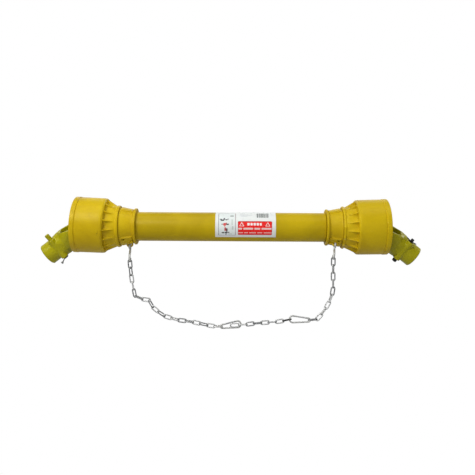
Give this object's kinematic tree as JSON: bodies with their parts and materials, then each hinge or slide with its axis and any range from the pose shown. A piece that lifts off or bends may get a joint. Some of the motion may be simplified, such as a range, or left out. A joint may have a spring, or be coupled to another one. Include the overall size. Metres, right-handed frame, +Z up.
{
  "type": "universal joint shaft",
  "caption": "Telescoping drive shaft with a universal joint and splined yoke at each end, inside a yellow plastic guard with flared end cones and a restraint chain.",
  "frame": {"origin": "on the shaft axis, midway between the two joint centres", "axes": "+X along the shaft towards the telescoping half, +Z up, restraint chain hanging along -Z"},
  "size_m": [0.9214, 0.135, 0.316],
  "materials": {
    "guard_plastic": "satin moulded",
    "tube_plastic": "satin extruded",
    "nylon": "satin",
    "yoke_paint": "gloss over casting",
    "black_oxide": "black oxide",
    "label_vinyl": "printed vinyl",
    "zinc": "bright zinc plate",
    "nipple_brass": "machined",
    "ground_steel": "ground",
    "raw_steel": "oiled mill finish"
  },
  "bodies": {
    "guard_left": {"guard_cone_left": "guard_plastic", "guard_bearing_left": "nylon", "lock_collar_left": "guard_plastic", "outer_guard_tube": "tube_plastic", "safety_label": "label_vinyl"},
    "guard_right": {"guard_cone_right": "guard_plastic", "guard_bearing_right": "nylon", "lock_collar_right": "guard_plastic", "inner_guard_tube": "tube_plastic"},
    "driveline_left": {"inner_yoke_left": "raw_steel", "roll_pin_left": "black_oxide", "outer_profile_tube": "raw_steel", "bearing_cup_left_upper": "ground_steel", "bearing_cup_left_lower": "ground_steel"},
    "driveline_right": {"inner_yoke_right": "raw_steel", "roll_pin_right": "black_oxide", "inner_profile_tube": "raw_steel", "bearing_cup_right_upper": "ground_steel", "bearing_cup_right_lower": "ground_steel"},
    "joint_cross_left": {"cross_left": "ground_steel", "grease_nipple_left": "nipple_brass"},
    "end_left": {"end_yoke_left": "yoke_paint", "bearing_cup_left_front": "ground_steel", "bearing_cup_left_rear": "ground_steel", "snap_ring_left_front": "black_oxide", "snap_ring_left_rear": "black_oxide"},
    "lock_left": {"lock_pin_left": "yoke_paint", "lock_pin_spring_left": "raw_steel", "lock_pin_clip_left": "black_oxide"},
    "joint_cross_right": {"cross_right": "ground_steel", "grease_nipple_right": "nipple_brass"},
    "end_right": {"end_yoke_right": "yoke_paint", "bearing_cup_right_front": "ground_steel", "bearing_cup_right_rear": "ground_steel", "snap_ring_right_front": "black_oxide", "snap_ring_right_rear": "black_oxide"},
    "lock_right": {"lock_pin_right": "black_oxide", "lock_pin_spring_right": "raw_steel", "lock_pin_clip_right": "black_oxide"},
    "hook_left": {"s_hook_left": "zinc"},
    "strand_left_1": {"chain_left_1": "zinc"},
    "strand_left_2": {"chain_left_2": "zinc"},
    "strand_left_3": {"chain_left_3": "zinc"},
    "strand_left_4": {"chain_left_4": "zinc"},
    "strand_left_5": {"chain_left_5": "zinc"},
    "strand_left_6": {"chain_left_6": "zinc"},
    "strand_left_7": {"chain_left_7": "zinc"},
    "strand_left_8": {"chain_left_8": "zinc"},
    "snap_left": {"snap_hook_left": "zinc"},
    "hook_right": {"s_hook_right": "zinc"},
    "strand_right_1": {"chain_right_1": "zinc"},
    "strand_right_2": {"chain_right_2": "zinc"},
    "strand_right_3": {"chain_right_3": "zinc"},
    "strand_right_4": {"chain_right_4": "zinc"},
    "snap_right": {"snap_hook_right": "zinc"},
    "strand_middle_1": {"chain_middle_1": "zinc"},
    "strand_middle_2": {"chain_middle_2": "zinc"},
    "strand_middle_3": {"chain_middle_3": "zinc"},
    "gate_left": {"snap_gate_left": "zinc"},
    "gate_right": {"snap_gate_right": "zinc"}
  },
  "joints": [
    {"name": "drive_spin", "type": "hinge", "parent": "guard_left", "child": "driveline_left", "pos_m": [0, 0, 0], "axis": [1, 0, 0], "continuous": true},
    {"name": "drive_extend", "type": "slide", "parent": "driveline_left", "child": "driveline_right", "axis": [1, 0, 0], "range_m": [0, 0.25]},
    {"name": "guard_extend", "type": "slide", "parent": "guard_left", "child": "guard_right", "axis": [1, 0, 0], "range_m": [0, 0.2501]},
    {"name": "cross_swing_left", "type": "hinge", "parent": "driveline_left", "child": "joint_cross_left", "pos_m": [-0.355, 0, 0], "axis": [0, -0.2588, 0.9659], "range_deg": [-33.43, 10.57]},
    {"name": "end_yoke_lift_left", "type": "hinge", "parent": "joint_cross_left", "child": "end_left", "pos_m": [-0.355, 0, 0], "axis": [-0.1982, 0.9468, 0.2537], "range_deg": [0, 73]},
    {"name": "lock_pin_press_left", "type": "slide", "parent": "end_left", "child": "lock_left", "axis": [0.5829, 0.3219, -0.7461], "range_m": [0, 0.006]},
    {"name": "cross_swing_right", "type": "hinge", "parent": "driveline_right", "child": "joint_cross_right", "pos_m": [0.355, 0, 0], "axis": [0, -0.2588, 0.9659], "range_deg": [-10.57, 33.43]},
    {"name": "end_yoke_lift_right", "type": "hinge", "parent": "joint_cross_right", "child": "end_right", "pos_m": [0.355, 0, 0], "axis": [-0.1982, -0.9468, -0.2537], "range_deg": [0, 73]},
    {"name": "lock_pin_press_right", "type": "slide", "parent": "end_right", "child": "lock_right", "axis": [0.5829, -0.3219, 0.7461], "range_m": [0, 0.006]},
    {"name": "chain_hook_left", "type": "hinge", "parent": "guard_left", "child": "hook_left", "pos_m": [-0.2455, 0, -0.0442], "axis": [0, 1, 0], "range_deg": [0, 1.5]},
    {"name": "chain_left_bend_1", "type": "hinge", "parent": "hook_left", "child": "strand_left_1", "pos_m": [-0.2455, 0, -0.0852], "axis": [0, 1, 0], "range_deg": [0, 6.74]},
    {"name": "chain_left_bend_2", "type": "hinge", "parent": "strand_left_1", "child": "strand_left_2", "pos_m": [-0.23968, 0, -0.13444], "axis": [0, 1, 0], "range_deg": [0, 4.82]},
    {"name": "chain_drop_left", "type": "hinge", "parent": "strand_left_2", "child": "strand_left_3", "pos_m": [-0.23255, 0, -0.16932], "axis": [0, 1, 0], "range_deg": [0, 62.22]},
    {"name": "chain_left_bend_4", "type": "hinge", "parent": "strand_left_3", "child": "strand_left_4", "pos_m": [-0.19857, 0, -0.1792], "axis": [0, 1, 0], "range_deg": [-35.29, 0]},
    {"name": "chain_left_bend_5", "type": "hinge", "parent": "strand_left_4", "child": "strand_left_5", "pos_m": [-0.17672, 0, -0.20669], "axis": [0, 1, 0], "range_deg": [0, 24.97]},
    {"name": "chain_left_bend_6", "type": "hinge", "parent": "strand_left_5", "child": "strand_left_6", "pos_m": [-0.14512, 0, -0.22246], "axis": [0, 1, 0], "range_deg": [0, 15.42]},
    {"name": "chain_left_bend_7", "type": "hinge", "parent": "strand_left_6", "child": "strand_left_7", "pos_m": [-0.11027, 0, -0.2293], "axis": [0, 1, 0], "range_deg": [0, 1.61]},
    {"name": "chain_left_bend_8", "type": "hinge", "parent": "strand_left_7", "child": "strand_left_8", "pos_m": [-0.07518, 0, -0.23517], "axis": [0, 1, 0], "range_deg": [0, 2.24]},
    {"name": "chain_left_bend_9", "type": "hinge", "parent": "strand_left_8", "child": "snap_left", "pos_m": [-0.01912, 0, -0.24231], "axis": [0, 1, 0], "range_deg": [0, 15.99]},
    {"name": "chain_hook_right", "type": "hinge", "parent": "guard_right", "child": "hook_right", "pos_m": [0.2503, -0.0233, -0.03835], "axis": [0, -1, 0], "range_deg": [0, 6.59]},
    {"name": "chain_right_bend_1", "type": "hinge", "parent": "hook_right", "child": "strand_right_1", "pos_m": [0.24605, -0.0233, -0.07511], "axis": [0, -1, 0], "range_deg": [-6.75, 0]},
    {"name": "chain_right_bend_2", "type": "hinge", "parent": "strand_right_1", "child": "strand_right_2", "pos_m": [0.24618, -0.0213, -0.12471], "axis": [0, -1, 0], "range_deg": [0, 3.23]},
    {"name": "chain_right_bend_3", "type": "hinge", "parent": "strand_right_2", "child": "strand_right_3", "pos_m": [0.24428, -0.01986, -0.16014], "axis": [0, -1, 0], "range_deg": [0, 20.14]},
    {"name": "chain_right_bend_4", "type": "hinge", "parent": "strand_right_3", "child": "strand_right_4", "pos_m": [0.23028, -0.01842, -0.1928], "axis": [0, -1, 0], "range_deg": [0, 31.05]},
    {"name": "chain_drop_right", "type": "hinge", "parent": "strand_right_4", "child": "snap_right", "pos_m": [0.18781, -0.01614, -0.22336], "axis": [0, -1, 0], "range_deg": [0, 38.16]},
    {"name": "chain_middle_bend_1", "type": "hinge", "parent": "snap_right", "child": "strand_middle_1", "pos_m": [0.14684, -0.01448, -0.22162], "axis": [0, -1, 0], "range_deg": [-13.23, 0]},
    {"name": "chain_middle_bend_2", "type": "hinge", "parent": "strand_middle_1", "child": "strand_middle_2", "pos_m": [0.11189, -0.01304, -0.22829], "axis": [0, -1, 0], "range_deg": [0, 5.65]},
    {"name": "chain_middle_bend_3", "type": "hinge", "parent": "strand_middle_2", "child": "strand_middle_3", "pos_m": [0.05542, -0.01076, -0.23339], "axis": [0, -1, 0], "range_deg": [0, 3.11]},
    {"name": "snap_gate_open_left", "type": "hinge", "parent": "snap_left", "child": "gate_left", "pos_m": [-0.01128, 0, -0.23585], "axis": [0, 1, 0], "range_deg": [0, 22]},
    {"name": "snap_gate_open_right", "type": "hinge", "parent": "snap_right", "child": "gate_right", "pos_m": [0.17931, -0.01578, -0.21779], "axis": [-0.0403, -0.9992, 0.0017], "range_deg": [0, 22]}
  ],
  "couplings": [
    {"joint": "guard_extend", "follows": "drive_extend", "ratio": 1}
  ]
}
